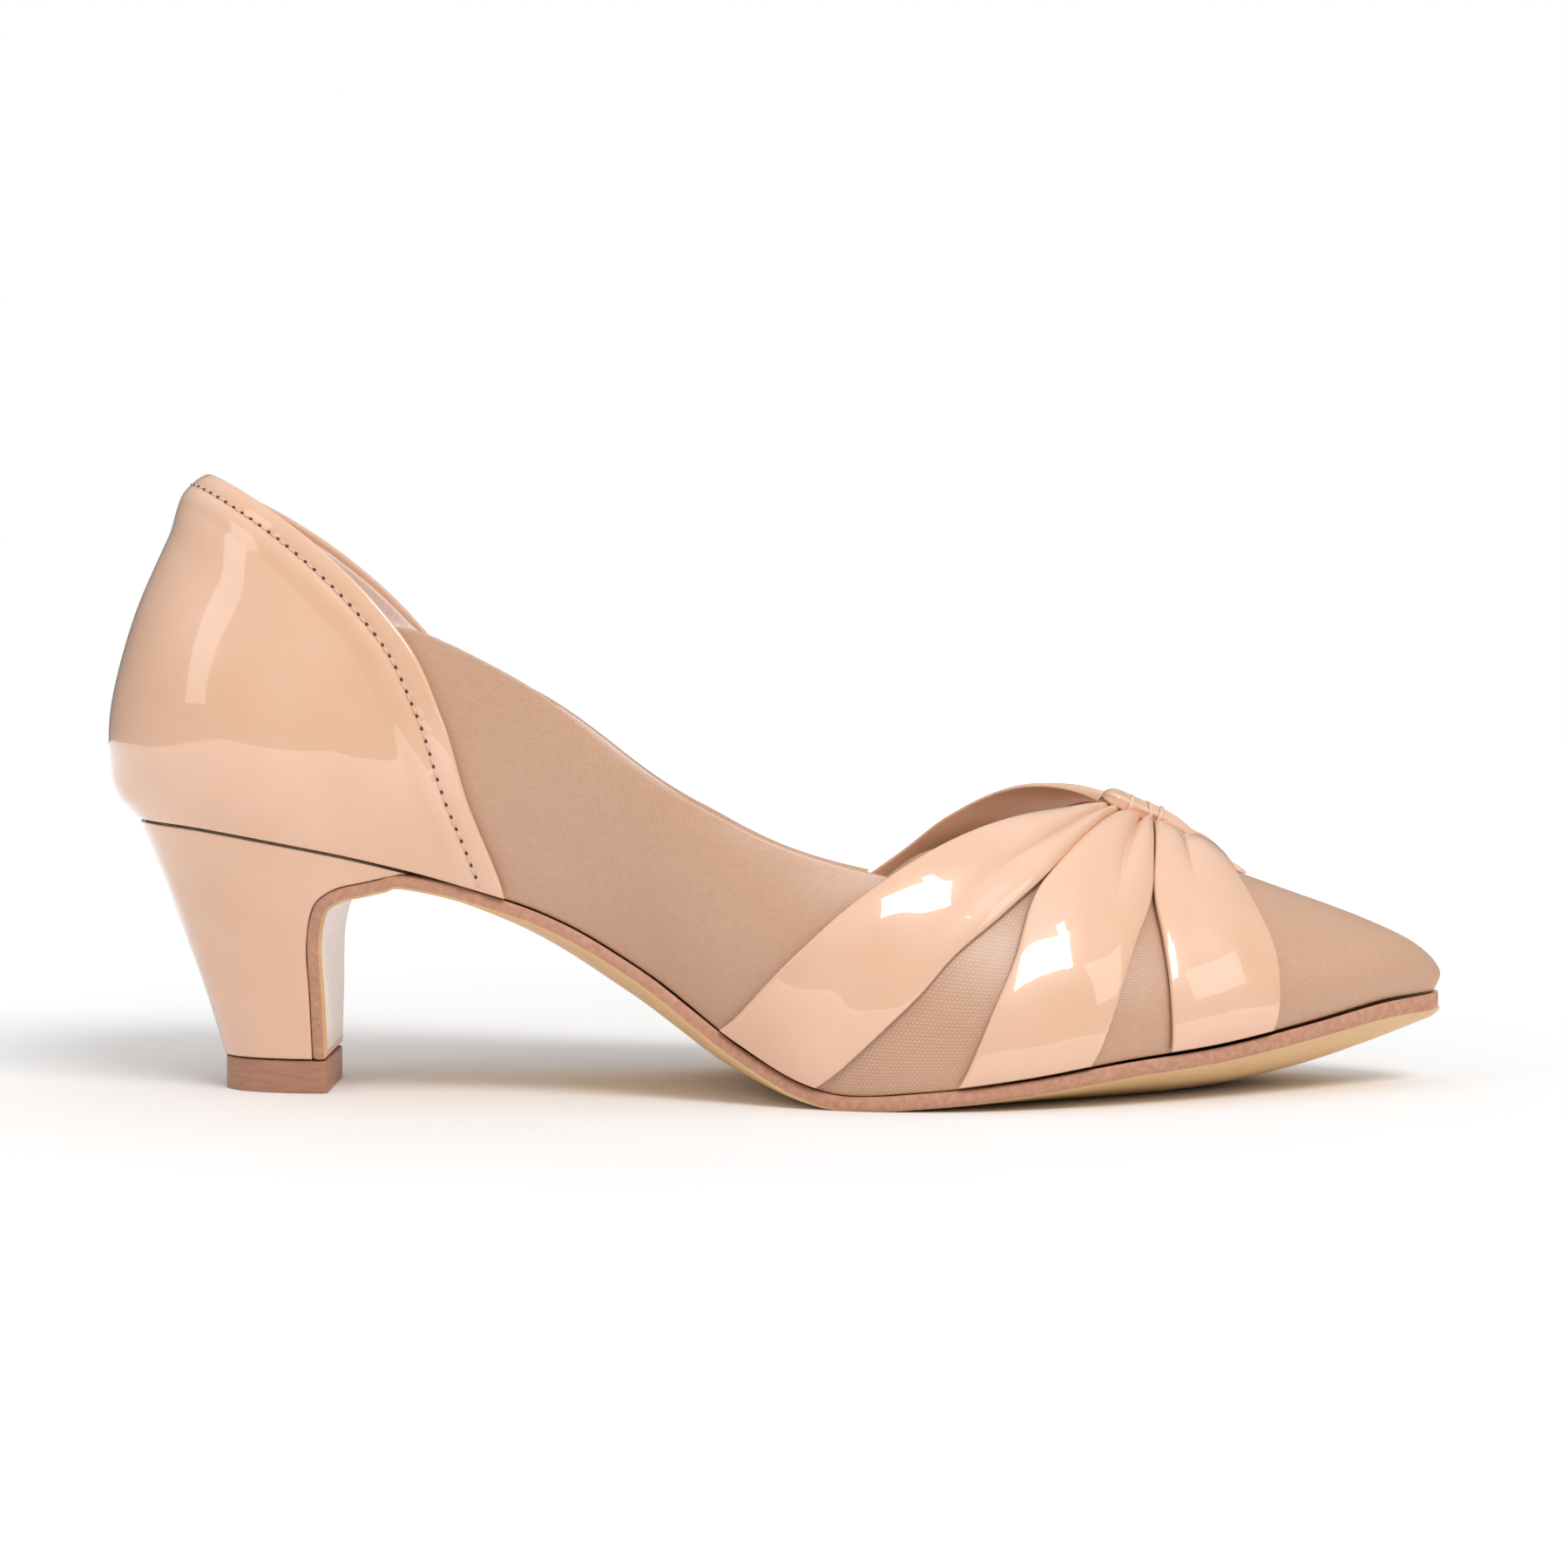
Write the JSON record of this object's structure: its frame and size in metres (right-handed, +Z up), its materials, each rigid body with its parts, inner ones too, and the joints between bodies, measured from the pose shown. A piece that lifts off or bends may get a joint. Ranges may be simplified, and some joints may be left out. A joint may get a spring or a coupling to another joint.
{
  "type": "high heel pump",
  "caption": "Right-foot pointed court shoe with a covered block heel, satin upper, patent heel quarters and pleated patent bands gathered under a wrap on the vamp.",
  "frame": {"origin": "centre of the bounding box in plan, at the ground the shoe stands on", "axes": "+X towards the toe, -Y to the outer (lateral) side of the right foot, +Z up"},
  "size_m": [0.2466, 0.0798, 0.113],
  "materials": {
    "patent_leather": "patent, high gloss, nude",
    "satin": "champagne satin with a fine weave",
    "lining_leather": "matte, pale pink",
    "painted_sole": "edge painted brown-pink, tan underside",
    "lift_plastic": "satin brown-pink",
    "heel_plastic": "as moulded",
    "fibre_board": "pressed board",
    "stiffener_sheet": "resin stiffened sheet",
    "backing_cloth": "cotton backing",
    "cork": "cork composition",
    "foam": "foam sheet",
    "steel": "zinc plated"
  },
  "bodies": {
    "root": {"outsole": "painted_sole", "heel_block": "heel_plastic", "heel_cover": "patent_leather", "top_lift": "lift_plastic", "top_lift_pin_1": "steel", "top_lift_pin_2": "steel", "shank": "steel", "insole_board": "fibre_board", "bottom_filler": "cork", "footbed_foam": "foam", "sock_lining": "lining_leather", "heel_nail_1": "steel", "heel_nail_2": "steel", "heel_nail_3": "steel", "heel_nail_4": "steel", "heel_screw": "steel", "shank_rivet_1": "steel", "shank_rivet_2": "steel", "heel_counter": "stiffener_sheet", "heel_lining": "lining_leather", "vamp": "satin", "vamp_lining": "lining_leather", "toe_puff": "stiffener_sheet", "heel_quarter_lateral": "patent_leather", "satin_quarter_lateral": "satin", "quarter_backing_lateral": "backing_cloth", "quarter_lining_lateral": "lining_leather", "band_rear_lateral": "patent_leather", "band_middle_lateral": "patent_leather", "band_front_lateral": "patent_leather", "heel_quarter_medial": "patent_leather", "satin_quarter_medial": "satin", "quarter_backing_medial": "backing_cloth", "quarter_lining_medial": "lining_leather", "band_rear_medial": "patent_leather", "band_middle_medial": "patent_leather", "band_front_medial": "patent_leather", "band_wrap": "patent_leather"}
  },
  "joints": []
}
